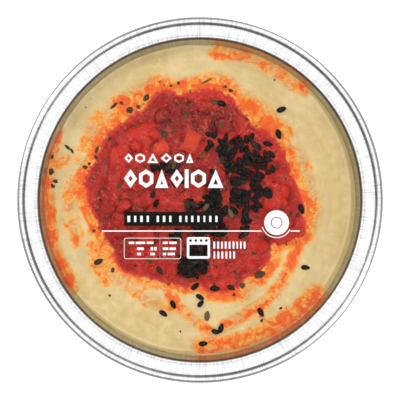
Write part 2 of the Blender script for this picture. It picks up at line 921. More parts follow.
@dataclass
class FoilTray:
    """A smooth-walled round foil tray with a sealing flange and rolled bead."""

    outer_radius: float = 59.0
    height: float = 30.0
    wall: float = 0.45
    bead_radius: float = 1.2
    flange_top: float = 29.0
    flange_inner: float = 53.0
    bend_radius: float = 1.2
    wall_lean: float = math.radians(15.6)
    base_fillet: float = 4.5
    foot_inner: float = 35.0
    panel_rise: float = 0.8
    seal_radius: float = 53.25
    dull_inside: float = 0.34
    dull_outside: float = 0.3
    segments: int = 256

    def wall_radius(self, height: float) -> float:
        """Inner radius of the side wall.

        Args:
            height: The height, in millimetres.

        Returns:
            The radius there, in millimetres.
        """
        top_radius = self.flange_inner - self.bend_radius * math.cos(self.wall_lean)
        top = self.flange_top - self.bend_radius * (1.0 - math.sin(self.wall_lean))
        return top_radius - (top - height) * math.tan(self.wall_lean)

    @staticmethod
    def arc(centre: Ring, radius: float, start: float, end: float, steps: int) -> list[Ring]:
        """Points of an arc of the section.

        Args:
            centre: Its centre, as (radius, height).
            radius: Its own radius.
            start: Its first angle in degrees.
            end: Its last angle in degrees.
            steps: Its steps.

        Returns:
            Its points, both ends included.
        """
        turns = (math.radians(start + (end - start) * k / steps) for k in range(steps + 1))
        return [(centre[0] + radius * math.cos(t), centre[1] + radius * math.sin(t)) for t in turns]

    def fillet_centre(self) -> Ring:
        """Centre of the round between side wall and base."""
        height = self.wall + self.base_fillet
        reach = self.wall_radius(height) - self.base_fillet / math.cos(self.wall_lean)
        return (reach, height)

    def base_rings(self, height: float) -> list[Ring]:
        """Rings of the base, from the axis out over its raised panel and ribs.

        Args:
            height: Height of the foot.

        Returns:
            The rings.
        """
        top = height + self.panel_rise
        end = self.foot_inner
        rib = [(r, top + lift) for r, lift in ((24.0, 0.0), (24.6, 0.28), (25.6, 0.28), (26.2, 0.0))]
        ramp = [(end - 1.9, top), (end - 1.5, top - 0.08), (end - 0.3, height + 0.08), (end, height)]
        return [(0.0, top), (6.0, top), (15.0, top), *rib, *ramp, (end + 1.0, height)]

    def wall_rings(self, offset: float) -> list[Ring]:
        """Rings up the side wall, this far out from its inner face."""
        return [(self.wall_radius(z) + offset, z) for z in (9.0, 14.0, 19.0, 23.0, 27.3)]

    def section(self) -> list[Ring]:
        """The closed section: out along the underside, round the bead, and in
        over the flange, down the wall and along the base."""
        lean = math.degrees(self.wall_lean)
        bend = (self.flange_inner, self.flange_top - self.bend_radius)
        middle = (self.outer_radius - self.bead_radius, self.height - self.bead_radius)
        outer_fillet = self.base_fillet + self.wall
        outer = self.base_rings(0.0)
        outer += self.arc(self.fillet_centre(), outer_fillet, -90.0, -lean, 10)
        outer += self.wall_rings(self.wall / math.cos(self.wall_lean))
        outer += self.arc(bend, self.bend_radius - self.wall, 180.0 - lean, 90.0, 6)
        under = math.degrees(math.asin((self.flange_top - self.wall - middle[1]) / self.bead_radius))
        over = math.degrees(math.asin((self.flange_top - middle[1]) / self.bead_radius))
        bead = self.arc(middle, self.bead_radius, 180.0 - under, 540.0 - over, 40)
        seal = [
            (56.2, self.flange_top),
            (self.seal_radius + 0.5, self.flange_top),
            (self.seal_radius + 0.2, self.flange_top - 0.09),
            (self.seal_radius, self.flange_top - 0.1),
            (self.seal_radius - 0.2, self.flange_top - 0.02),
        ]
        inner = self.arc(bend, self.bend_radius, 90.0, 180.0 - lean, 12)
        cup = self.base_rings(self.wall)
        cup += self.arc(self.fillet_centre(), self.base_fillet, -90.0, -lean, 10)
        cup += self.wall_rings(0.0)
        return outer + bead + seal + inner + cup[::-1]

    def build(self, material: bpy.types.Material) -> bpy.types.Object:
        """Models and dresses the tray.

        Args:
            material: The foil.

        Returns:
            The tray.
        """
        tray = ring_stack("foil_tray", self.section(), self.segments)
        set_attribute(tray, "dulled", self._dulled_at)
        move_points(tray, self._formed)
        tray.data.materials.append(material)
        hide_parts("tray")
        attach(tray, BODY)
        return tray

    def _dulled_at(self, point: Vector) -> float:
        """How dull the foil is at a point: on the wall over the paste, most
        where the wall bends out, then along the seal, the groove and the rim."""
        reach = math.hypot(point.x, point.y)
        if reach < self.wall_radius(point.z) + 0.5 * self.wall and 14.5 < point.z < 28.0:
            return self.dull_inside
        if point.z < 28.0:
            return self.dull_outside
        bend = 0.95 * smoothstep(52.75, 52.2, reach)
        seal = 0.2 * smoothstep(0.4, 0.1, abs(reach - self.seal_radius))
        groove = 0.6 * smoothstep(56.2, 56.7, reach) * smoothstep(57.5, 57.1, reach)
        rim = 0.65 * smoothstep(58.1, 58.7, reach)
        return max(bend, seal, groove, rim)

    def _formed(self, point: Vector) -> Vector:
        """Gives the flange, wall and foot the slight waviness of pressed foil."""
        reach = math.hypot(point.x, point.y)
        if reach < 1.0:
            return point
        angle = math.atan2(point.y, point.x)
        ring = Vector((math.cos(angle), math.sin(angle), 0.0))
        flange = smoothstep(52.6, 53.6, reach) * smoothstep(56.8, 56.0, reach)
        dent = 0.03 * noise.noise(ring * 14.0) + 0.02 * noise.noise(ring * 45.0)
        lift = dent * flange
        side = smoothstep(3.0, 8.0, point.z) * smoothstep(28.5, 24.0, point.z)
        push = 0.1 * noise.noise(ring * 5.0 + Vector((0.0, 0.0, point.z / 14.0)))
        return point + ring * push * side + Vector((0.0, 0.0, lift))


# --------------------------------------------------------------------------
# The food
# --------------------------------------------------------------------------


@dataclass(frozen=True)
class Stroke:
    """A smear of oil: a soft line through a few points."""

    points: tuple[tuple[float, float], ...]
    width: float
    strength: float

    def at(self, x: float, y: float) -> float:
        """The smear's strength at a place.

        Args:
            x: Place in millimetres.
            y: Place in millimetres.

        Returns:
            0 away from the smear up to its strength on its line.
        """
        near = 1e9
        here = Vector((x, y))
        for start, end in zip(self.points, self.points[1:]):
            a, b = Vector(start), Vector(end)
            t = max(0.0, min(1.0, (here - a).dot(b - a) / max((b - a).length_squared, 1e-9)))
            near = min(near, (here - a.lerp(b, t)).length)
        return self.strength * smoothstep(self.width, 0.0, near)


def spot(x: float, y: float, width: float, strength: float) -> Stroke:
    """Makes a round smear."""
    return Stroke(((x, y), (x + 0.1, y)), width, strength)


def strongest(strokes: Sequence[Stroke], point: Vector) -> float:
    """The strength of the strongest of some smears at a point."""
    return max((stroke.at(point.x, point.y) for stroke in strokes), default=0.0)


@dataclass
class Outline:
    """The sauce's outline as its reach from the axis, every ten degrees
    anticlockwise from +X, in millimetres."""

    reaches: tuple[float, ...] = (
        32.4, 31.0, 30.3, 30.8, 30.8, 30.1, 29.9, 33.3, 35.1, 35.2, 34.1, 37.3,
        34.6, 34.7, 35.2, 36.0, 36.0, 37.2, 36.0, 34.0, 32.8, 32.2, 33.2, 31.5,
        29.6, 28.2, 28.0, 26.8, 30.5, 30.4, 30.0, 29.8, 29.2, 26.9, 34.4, 33.8,
    )  # fmt: skip

    def reach(self, angle: float) -> float:
        """The outline's reach.

        Args:
            angle: Its angle in radians.

        Returns:
            The reach in millimetres.
        """
        count = len(self.reaches)
        place = (angle / math.tau * count) % count
        index = int(place)
        t = place - index
        a, b, c, d = (self.reaches[(index + k) % count] for k in (-1, 0, 1, 2))
        curve = b + 0.5 * t * (
            c - a + t * (2.0 * a - 5.0 * b + 4.0 * c - d + t * (3.0 * (b - c) + d - a))
        )
        ring = Vector((math.cos(angle), math.sin(angle), 0.0))
        ragged = 0.6 * noise.noise(ring * 20.0) + 0.2 * noise.noise(ring * 45.0)
        return curve + 1.0 * noise.noise(ring * 9.0) + ragged


@dataclass
class HummusBody:
    """The hummus up to its surface, with its stains."""

    tray: FoilTray
    outline: Outline
    level: float = FILL
    ring_step: float = 0.55
    segments: int = 288
    oil: tuple[Stroke, ...] = ()
    paprika: tuple[Stroke, ...] = ()
    zest: tuple[Stroke, ...] = ()

    def build(self, material: bpy.types.Material) -> bpy.types.Object:
        """Models and dresses the hummus.

        Args:
            material: The paste.

        Returns:
            The hummus.
        """
        reach = self.tray.wall_radius(self.level) - 0.5
        steps = int(reach / self.ring_step)
        body = ring_stack("hummus_body", self._rings(reach, steps), self.segments)
        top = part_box("hummus")[1][2] / MM
        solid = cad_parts["hummus"]
        surface = BVHTree.FromObject(solid, bpy.context.evaluated_depsgraph_get())

        def settled(point: Vector) -> Vector:
            """Lays a point of the top on the fill's surface, with its swirls."""
            if point.z < self.level - 1.5:
                return point
            hit = surface.ray_cast(Vector((point.x, point.y, top + 10.0)) * MM, DOWN)[0]
            height = hit.z / MM if hit else self.level
            return Vector((point.x, point.y, height + self._swirl(point)))

        self._settle_top(body, settled)
        rules = {
            "oil": self._oil_at,
            "paprika": self._paprika_at,
            "rim": self._rim_at,
            "shine": self._shine_at,
            "red": self._red_at,
            "zest": lambda point: strongest(self.zest, point),
        }
        for name, rule in rules.items():
            set_attribute(body, name, rule)
        body.data.materials.append(material)
        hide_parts("hummus")
        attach(body, BODY)
        return body

    def _rings(self, reach: float, steps: int) -> list[Ring]:
        """Rings of the closed body: the top from its middle to the wall, then
        down the wall's inside to the base."""
        top = [(0.0, self.level)]
        top += [(reach * k / steps, self.level) for k in range(1, steps + 1)]
        edge = self.tray.wall_radius(self.level + 0.5)
        top += [(edge - 0.2, self.level + 0.15), (edge - 0.03, self.level + 0.45)]
        under = [(self.tray.wall_radius(z) - 0.15, z) for z in (21.0, 16.0, 11.0, 6.0)]
        return top + under + [(43.0, 2.0), (33.0, 1.6), (0.0, 1.6)]

    def _settle_top(self, body: bpy.types.Object, rule: Callable[[Vector], Vector]) -> None:
        """Settles the top and evens it out, and leaves the underside alone.

        Args:
            body: The hummus.
            rule: Gives a top point's settled place.
        """
        inner = self.tray.wall_radius(self.level) - 0.45
        group = body.vertex_groups.new(name="top")
        for vertex in body.data.vertices:
            place = vertex.co / MM
            if place.z > self.level - 0.5 and math.hypot(place.x, place.y) < inner:
                vertex.co = rule(place) * MM
                group.add([vertex.index], 1.0, "REPLACE")
        apply_modifier(body, "SMOOTH", factor=0.5, iterations=8, vertex_group="top")

    def _swirl(self, point: Vector) -> float:
        """Height of the marks of spreading and of the paste's own softness."""
        reach = math.hypot(point.x, point.y)
        angle = math.atan2(point.y, point.x)
        track = reach + 1.6 * math.sin(angle + 0.8) + 1.2 * ripple(point.x, point.y, 18.0, 4.0)
        marks = 0.16 * math.sin(track * 1.15) * (0.6 + 0.4 * math.sin(2.0 * angle + 0.5))
        soft = 0.35 * ripple(point.x, point.y, 11.0) + 0.12 * ripple(point.x, point.y, 3.2, 2.0)
        fade = smoothstep(50.4, 48.5, reach)
        return (marks + soft) * fade

    def _edge_gap(self, point: Vector) -> float:
        """How far outside the sauce a point lies."""
        angle = math.atan2(point.y, point.x)
        return math.hypot(point.x, point.y) - self.outline.reach(angle)

    def _oil_at(self, point: Vector) -> float:
        """Strength of the orange wash at a point."""
        gap = self._edge_gap(point)
        angle = math.atan2(point.y, point.x)
        spread = 7.0 + 2.0 * math.sin(angle + 0.2) + 4.5 * ripple(point.x, point.y, 12.0, 9.0)
        ring = smoothstep(max(spread, 3.0), 1.2, gap)
        return min(1.2, max(ring, strongest(self.oil, point)))

    def _paprika_at(self, point: Vector) -> float:
        """Strength of the red-orange smears at a point."""
        ring = 0.5 * smoothstep(3.0, 0.0, abs(self._edge_gap(point)))
        return max(ring, strongest(self.paprika, point))

    def _red_at(self, point: Vector) -> float:
        """Strength of the thin red stain along the sauce at a point."""
        return smoothstep(1.5, 0.0, self._edge_gap(point))

    @staticmethod
    def _past_edge(point: Vector) -> float:
        """How far outside the line where the paste climbs the wall a point is."""
        angle = math.atan2(point.y, point.x)
        line = 49.5 + 0.7 * math.cos(angle - math.radians(140.0))
        return math.hypot(point.x, point.y) - line - 0.3 * ripple(point.x, point.y, 9.0, 6.0)

    def _rim_at(self, point: Vector) -> float:
        """Share of the shaded strip along the wall at a point."""
        return smoothstep(0.0, 0.6, self._past_edge(point))

    def _shine_at(self, point: Vector) -> float:
        """Share of the pale line where the paste starts to climb the wall."""
        return smoothstep(0.6, 0.1, abs(self._past_edge(point) + 0.2))


@dataclass(frozen=True)
class Lump:
    """A piece of pepper in the sauce: its place, size, turn and shade."""

    x: float
    y: float
    length: float
    width: float
    turn: float
    tint: float
    rise: float = 0.4


@dataclass
class PepperSauce:
    """The sauce with its diced and sliced peppers, as one wet surface."""

    outline: Outline
    level: float = FILL
    mound: float = 1.5
    voxel: float = 0.36
    segments: int = 180
    rings: int = 34
    ceiling: float = 28.4
    strewn: int = 70
    seed: int = 11
    lumps: tuple[Lump, ...] = ()
    deep: tuple[Stroke, ...] = ()

    def build(self, material: bpy.types.Material, ground: BVHTree) -> bpy.types.Object:
        """Models and dresses the sauce.

        Args:
            material: The sauce.
            ground: The hummus's surface.

        Returns:
            The sauce.
        """
        core = self._core(ground)
        surface = BVHTree.FromObject(core, bpy.context.evaluated_depsgraph_get())
        pieces, shades = [], []
        for lump in self._all_lumps():
            piece = self._pepper(lump, surface)
            shades += [lump.tint] * len(piece.data.polygons)
            pieces.append(piece)
        peppers = merge_pieces("peppers", pieces)
        near = BVHTree.FromObject(peppers, bpy.context.evaluated_depsgraph_get())
        sauce = merge_pieces("pepper_sauce", [core, peppers])
        apply_modifier(sauce, "REMESH", mode="VOXEL", voxel_size=self.voxel * MM)
        apply_modifier(sauce, "SMOOTH", factor=0.5, iterations=2)
        move_points(sauce, self._pulp)
        self._tint(sauce, near, shades)
        self._relief(sauce)
        set_attribute(sauce, "deep", lambda point: strongest(self.deep, point))
        only(sauce)
        bpy.ops.object.shade_smooth()
        sauce.data.materials.append(material)
        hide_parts("pepper_topping")
        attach(sauce, BODY)
        return sauce

    def _height(self, x: float, y: float, share: float) -> float:
        """Height of the sauce over the hummus, between its pepper pieces."""
        rim = smoothstep(1.02, 0.82, share)
        swell = self.mound * (1.0 - 0.45 * share * share)
        folds = 0.9 * ripple(x, y, 6.5, 1.0) + 0.5 * ripple(x, y, 2.8, 5.0)
        return rim * (0.8 + swell + folds)

    def _core(self, ground: BVHTree) -> bpy.types.Object:
        """Models the sauce without its pieces: a disc drawn to the outline,
        mounded on top and sunk a little into the hummus under it."""
        rings = [(0.0, 30.0)]
        rings += [(float(k), 30.0) for k in range(1, self.rings + 1)]
        rings += [(float(k), 0.0) for k in range(self.rings, 0, -1)]
        rings.append((0.0, 0.0))
        core = ring_stack("sauce_core", rings, self.segments)

        def shaped(point: Vector) -> Vector:
            """Draws a point of the disc to its place in the sauce."""
            share = math.hypot(point.x, point.y) / self.rings
            angle = math.atan2(point.y, point.x)
            reach = share * self.outline.reach(angle)
            x, y = reach * math.cos(angle), reach * math.sin(angle)
            below = height_under(ground, x, y, self.level)
            if point.z < 15.0:
                return Vector((x, y, below - 0.5))
            level = below + (self.level - below) * smoothstep(1.0, 0.75, share)
            return Vector((x, y, level + self._height(x, y, min(share, 1.0))))

        move_points(core, shaped)
        return core

    def _all_lumps(self) -> list[Lump]:
        """The placed pieces, and smaller ones strewn between them."""
        chance = random.Random(self.seed)
        lumps = list(self.lumps)
        for _ in range(self.strewn):
            angle = chance.uniform(0.0, math.tau)
            share = math.sqrt(chance.uniform(0.0, 0.8))
            reach = share * self.outline.reach(angle)
            length = chance.uniform(2.6, 5.5)
            lumps.append(
                Lump(
                    reach * math.cos(angle),
                    reach * math.sin(angle),
                    length,
                    length * chance.uniform(0.5, 0.95),
                    chance.uniform(0.0, 180.0),
                    chance.uniform(0.0, 0.75),
                    chance.uniform(0.1, 0.9),
                )
            )
        return lumps

    def _pepper(self, lump: Lump, surface: BVHTree) -> bpy.types.Object:
        """Models one piece of pepper: a block with rounded, uneven sides.

        Args:
            lump: The piece's place, size and turn.
            surface: The sauce it lies in.

        Returns:
            The piece, in place.
        """
        chance = random.Random(f"{lump.x:.1f} {lump.y:.1f}")
        bpy.ops.object.select_all(action="DESELECT")
        bpy.ops.mesh.primitive_cube_add(size=1.0)
        piece = bpy.context.active_object
        bpy.ops.object.mode_set(mode="EDIT")
        bpy.ops.mesh.select_all(action="SELECT")
        bpy.ops.mesh.bevel(offset=0.16, segments=1)
        bpy.ops.object.mode_set(mode="OBJECT")
        for vertex in piece.data.vertices:
            vertex.co += Vector([chance.uniform(-0.11, 0.11) for _ in range(3)])
        apply_modifier(piece, "SUBSURF", levels=1, render_levels=1)
        thick = min(lump.width, lump.length) * 0.5
        bow = 0.12 * lump.length * chance.uniform(-1.0, 1.0)
        turn = math.radians(lump.turn)

        def placed(point: Vector) -> Vector:
            """Sizes, bows, turns and moves a point of the piece."""
            x, y, z = (v * MM for v in point)
            u = x * lump.length
            v = y * lump.width + bow * (4.0 * x * x - 0.4)
            px = lump.x + u * math.cos(turn) - v * math.sin(turn)
            py = lump.y + u * math.sin(turn) + v * math.cos(turn)
            base = 0.6 * height_under(surface, px, py, self.level) + 0.4 * middle
            return Vector((px, py, base + 1.5 * lump.rise - 0.5 * thick + z * thick))

        middle = height_under(surface, lump.x, lump.y, self.level)
        move_points(piece, placed)
        return piece

    def _pulp(self, point: Vector) -> Vector:
        """Roughens the upper surface with the sauce's pulp."""
        if point.z < self.level - 0.3:
            return point
        grain = 0.08 * ripple(point.x, point.y, 1.6, 2.0) + 0.03 * ripple(point.x, point.y, 0.8, 3.0)
        return Vector((point.x, point.y, min(point.z + grain, self.ceiling)))

    def _tint(self, sauce: bpy.types.Object, near: BVHTree, shades: Sequence[float]) -> None:
        """Stores where the surface is pepper.

        Args:
            sauce: The finished surface.
            near: The pepper pieces, before they were merged with it.
            shades: The shade of each of their faces.
        """

        def tint(point: Vector) -> float:
            """Shade of the pepper piece under a point."""
            _, _, index, distance = near.find_nearest(point * MM)
            if index is None:
                return 0.0
            return shades[index] * smoothstep(0.55, 0.15, distance / MM)

        set_attribute(sauce, "tint", tint)

    def _relief(self, sauce: bpy.types.Object) -> None:
        """Stores how far the surface lies under and over a smoothed copy of it,
        in its creases and on its ridges.

        Args:
            sauce: The finished surface.
        """
        even = bpy.data.objects.new("even", sauce.data.copy())
        bpy.context.scene.collection.objects.link(even)
        apply_modifier(even, "SMOOTH", factor=0.5, iterations=70)
        rises = [
            (own.co.z - mean.co.z) / MM
            for own, mean in zip(sauce.data.vertices, even.data.vertices)
        ]
        set_values(sauce.data, "hollow", [smoothstep(-0.02, -0.26, rise) for rise in rises])
        set_values(sauce.data, "ridge", [smoothstep(0.02, 0.22, rise) for rise in rises])
        bpy.data.objects.remove(even)


class Ground:
    """The food's upper surface, which the seeds and herbs lie on."""

    def __init__(self, pieces: Sequence[bpy.types.Object]) -> None:
        """Takes the pieces whose highest surface counts."""
        depsgraph = bpy.context.evaluated_depsgraph_get()
        self._trees = [BVHTree.FromObject(piece, depsgraph) for piece in pieces]

    def under(self, x: float, y: float) -> tuple[float, Vector]:
        """The surface under a place.

        Args:
            x: Place in millimetres.
            y: Place in millimetres.

        Returns:
            Its height in millimetres and its normal.
        """
        height, normal = 0.0, Vector((0.0, 0.0, 1.0))
        for tree in self._trees:
            hit, facing, _, _ = tree.ray_cast(Vector((x, y, LOOKOUT)) * MM, DOWN)
            if hit and hit.z / MM > height:
                height, normal = hit.z / MM, facing
        return height, normal


@dataclass(frozen=True)
class Patch:
    """A heap of seeds: its middle, half its extent each way, and their count."""

    x: float
    y: float
    wide: float
    tall: float
    count: int
    turn: float = 0.0


@dataclass(frozen=True)
class LaidSeed:
    """A seed in its place: its middle, its height and its turn in degrees."""

    x: float
    y: float
    height: float
    turn: float

    def spine(self) -> list[tuple[float, float]]:
        """Three places along the seed's length."""
        across, along = math.cos(math.radians(self.turn)), math.sin(math.radians(self.turn))
        return [(self.x + across * t, self.y + along * t) for t in (-1.0, 0.0, 1.0)]

    def distance(self, other: LaidSeed) -> float:
        """Distance in plan between the spines of two seeds."""
        pairs = ((a, b) for a in self.spine() for b in other.spine())
        return min(math.hypot(a[0] - b[0], a[1] - b[1]) for a, b in pairs)


@dataclass
class SesameSeeds:
    """Black sesame, heaped on the sauce and strewn on the hummus."""

    length: float = 3.25
    width: float = 1.75
    thickness: float = 1.0
    ceiling: float = 28.2
    seed: int = 5
    singles: tuple[tuple[float, float, float, float], ...] = ()
    patches: tuple[Patch, ...] = ()

    def build(self, material: bpy.types.Material, ground: Ground) -> bpy.types.Object:
        """Models and dresses the seeds.

        Args:
            material: The seeds' hulls.
            ground: What they lie on.

        Returns:
            All of them as one piece.
        """
        chance = random.Random(self.seed)
        laid: list[LaidSeed] = []
        places = []
        for x, y, turn, tint in self.singles:
            places.append(self._lay(x, y, turn, tint, ground, laid, chance))
        for patch in self.patches:
            for x, y in self._spots(patch, chance):
                turn = self._roomiest(x, y, patch.turn, laid, chance)
                roll = chance.random()
                tint = 0.92 if roll > 0.955 else (0.6 if roll > 0.88 else chance.uniform(0.0, 0.35))
                places.append(self._lay(x, y, turn, tint, ground, laid, chance))
        seeds = copies("sesame_seeds", [self._shape()], places)
        seeds.data.materials.append(material)
        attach(seeds, BODY)
        log.info("%d seeds", len(places))
        return seeds

    def _shape(self) -> bpy.types.Object:
        """Models one seed: a flat drop with its tip on +X."""
        girths = (0.0, 0.25, 0.42, 0.5, 0.49, 0.42, 0.3, 0.17, 0.0)
        heights = (-0.5, -0.45, -0.32, -0.12, 0.06, 0.22, 0.36, 0.46, 0.5)
        seed = ring_stack("seed", list(zip(girths, heights)), 10)
        seed.rotation_euler = (0.0, math.radians(90.0), 0.0)
        settle(seed)
        seed.scale = (self.length, self.width, self.thickness)
        settle(seed)
        set_attribute(seed, "crown", lambda p: max(0.0, p.z / (0.5 * self.thickness)))
        bpy.ops.object.shade_smooth()
        return seed

    @staticmethod
    def _roomiest(
        x: float, y: float, usual: float, laid: Sequence[LaidSeed], chance: random.Random
    ) -> float:
        """Picks the turn that keeps a seed clearest of those laid before it.

        Args:
            x: Place in millimetres.
            y: Place in millimetres.
            usual: The turn its patch tends to, or 0 for none.
            laid: The seeds laid so far.
            chance: Source of the turns to pick from.

        Returns:
            The turn in degrees.
        """
        near = [other for other in laid if math.hypot(other.x - x, other.y - y) < 4.5]
        turns = [
            chance.gauss(usual, 40.0) if usual else chance.uniform(0.0, 360.0) for _ in range(9)
        ]

        def room(turn: float) -> float:
            """Distance to the nearest seed with this turn."""
            own = LaidSeed(x, y, 0.0, turn)
            return min((own.distance(other) for other in near), default=9.0)

        return max(turns, key=room)

    def _spots(self, patch: Patch, chance: random.Random) -> list[tuple[float, float]]:
        """Places of a patch's seeds, spread evenly but not in rows."""
        found: list[tuple[float, float]] = []
        gap = 0.75 * math.sqrt(4.0 * patch.wide * patch.tall / patch.count)
        for _ in range(400):
            if len(found) == patch.count:
                break
            x = patch.x + chance.uniform(-patch.wide, patch.wide)
            y = patch.y + chance.uniform(-patch.tall, patch.tall)
            if all(math.hypot(x - a, y - b) > gap for a, b in found):
                found.append((x, y))
        return found

    def _lay(
        self,
        x: float,
        y: float,
        turn: float,
        tint: float,
        ground: Ground,
        laid: list[LaidSeed],
        chance: random.Random,
    ) -> Placement:
        """Lays one seed on the food or on the seeds laid before it.

        Args:
            x: Place in millimetres.
            y: Place in millimetres.
            turn: Its turn in degrees.
            tint: Its shade.
            ground: What it lies on.
            laid: The seeds laid so far, which it joins.
            chance: Source of its small tilt.

        Returns:
            Its placement.
        """
        height, normal = ground.under(x, y)
        height += 0.32 * self.thickness
        own = LaidSeed(x, y, height, turn)
        below = [other.height for other in laid if own.distance(other) < 1.15]
        tilt = 6.0
        if below:
            height = min(max(height, max(below) + 0.6), height + 2.2)
            tilt = 20.0
        laid.append(LaidSeed(x, y, height, turn))
        facing = (normal + Vector((0.0, 0.0, 0.6))).normalized()
        lean = Vector((0.0, 0.0, 1.0)).rotation_difference(facing).to_matrix().to_4x4()
        wobble = Matrix.Rotation(math.radians(chance.uniform(-tilt, tilt)), 4, "Y")
        wobble @= Matrix.Rotation(math.radians(chance.uniform(-tilt, tilt)), 4, "X")
        spin = Matrix.Rotation(math.radians(turn), 4, "Z")
        size = Matrix.Scale(chance.uniform(0.9, 1.06), 4)
        move = Matrix.Translation(Vector((x, y, min(height, self.ceiling))) * MM)
        return Placement(move @ lean @ wobble @ spin @ size, tint)


@dataclass
class HerbFlakes:
    """Flakes and stalks of dried herb on the food."""

    outline: Outline
    seed: int = 23
    flakes: tuple[tuple[float, float, float, float, float, float], ...] = ()
    strewn: int = 46

    def build(self, material: bpy.types.Material, ground: Ground) -> bpy.types.Object:
        """Models and dresses the flakes.

        Args:
            material: The herb.
            ground: What they lie on.

        Returns:
            All of them as one piece.
        """
        chance = random.Random(self.seed)
        places = []
        for x, y, length, width, turn, tint in self.flakes:
            places.append(self._lay(x, y, length, width, turn, tint, ground))
        for _ in range(self.strewn):
            angle = chance.uniform(0.0, math.tau)
            reach = self.outline.reach(angle) * math.sqrt(chance.uniform(0.02, 1.25))
            length = chance.uniform(0.5, 1.7)
            places.append(
                self._lay(
                    reach * math.cos(angle),
                    reach * math.sin(angle),
                    length,
                    length * chance.uniform(0.3, 0.8),
                    chance.uniform(0.0, 180.0),
                    chance.uniform(0.0, 1.0),
                    ground,
                )
            )
        shapes = [self._shape(k) for k in range(3)]
        herbs = copies("herb_flakes", shapes, places)
        herbs.data.materials.append(material)
        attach(herbs, BODY)
        return herbs

    def _shape(self, kind: int) -> bpy.types.Object:
        """Models one torn flake, a millimetre long and wide."""
        chance = random.Random(self.seed + kind)
        bpy.ops.object.select_all(action="DESELECT")
        bpy.ops.mesh.primitive_circle_add(vertices=12, radius=0.66 * MM, fill_type="TRIFAN")
        flake = bpy.context.active_object
        for vertex in flake.data.vertices:
            vertex.co *= chance.uniform(0.55, 1.15)
            curl = 0.25 * (vertex.co.x / MM) ** 2
            vertex.co.z += (curl + chance.uniform(-0.08, 0.1)) * MM
        apply_modifier(flake, "SOLIDIFY", thickness=0.16 * MM, offset=0.0)
        apply_modifier(flake, "SUBSURF", levels=1, render_levels=1)
        bpy.ops.object.shade_smooth()
        return flake

    @staticmethod
    def _lay(
        x: float,
        y: float,
        length: float,
        width: float,
        turn: float,
        tint: float,
        ground: Ground,
    ) -> Placement:
        """Lays one flake.

        Args:
            x: Place in millimetres.
            y: Place in millimetres.
            length: Its length.
            width: Its width.
            turn: Its turn in degrees.
            tint: Its shade.
            ground: What it lies on.

        Returns:
            Its placement.
        """
        height, normal = ground.under(x, y)
        lean = Vector((0.0, 0.0, 1.0)).rotation_difference(normal).to_matrix().to_4x4()
        spin = Matrix.Rotation(math.radians(turn), 4, "Z")
        size = Matrix.Diagonal((length, width, max(0.7, 0.5 * width), 1.0))
        move = Matrix.Translation(Vector((x, y, height + 0.06)) * MM)
        return Placement(move @ lean @ spin @ size, tint)


# --------------------------------------------------------------------------
# The film and its print
# --------------------------------------------------------------------------


@dataclass
class LidFilm:
    """A clear film sealed on the flange."""

    radius: float = 56.2
    seat: float = 29.05
    thickness: float = 0.06
    segments: int = 192

    @property
    def top(self) -> float:
        """Height of the film's upper face."""
        return self.seat + self.thickness

    def build(self, material: bpy.types.Material) -> bpy.types.Object:
        """Models and dresses the film.

        Args:
            material: The clear film.

        Returns:
            The film.
        """
        radii = (15.0, 30.0, 45.0, 52.0, self.radius - 0.1)
        rings = [(0.0, self.seat), *((r, self.seat) for r in radii)]
        rings.append((self.radius, self.seat + 0.5 * self.thickness))
        rings += [(r, self.top) for r in reversed(radii)] + [(0.0, self.top)]
        film = ring_stack("lid_film", rings, self.segments)
        film.data.materials.append(material)
        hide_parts("film_lid")
        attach(film, BODY)
        return film


@dataclass(frozen=True)
class Block:
    """A printed rectangle: its middle, its size and its turn in degrees."""

    x: float
    y: float
    wide: float
    tall: float
    turn: float = 0.0
    corner: float = 0.12


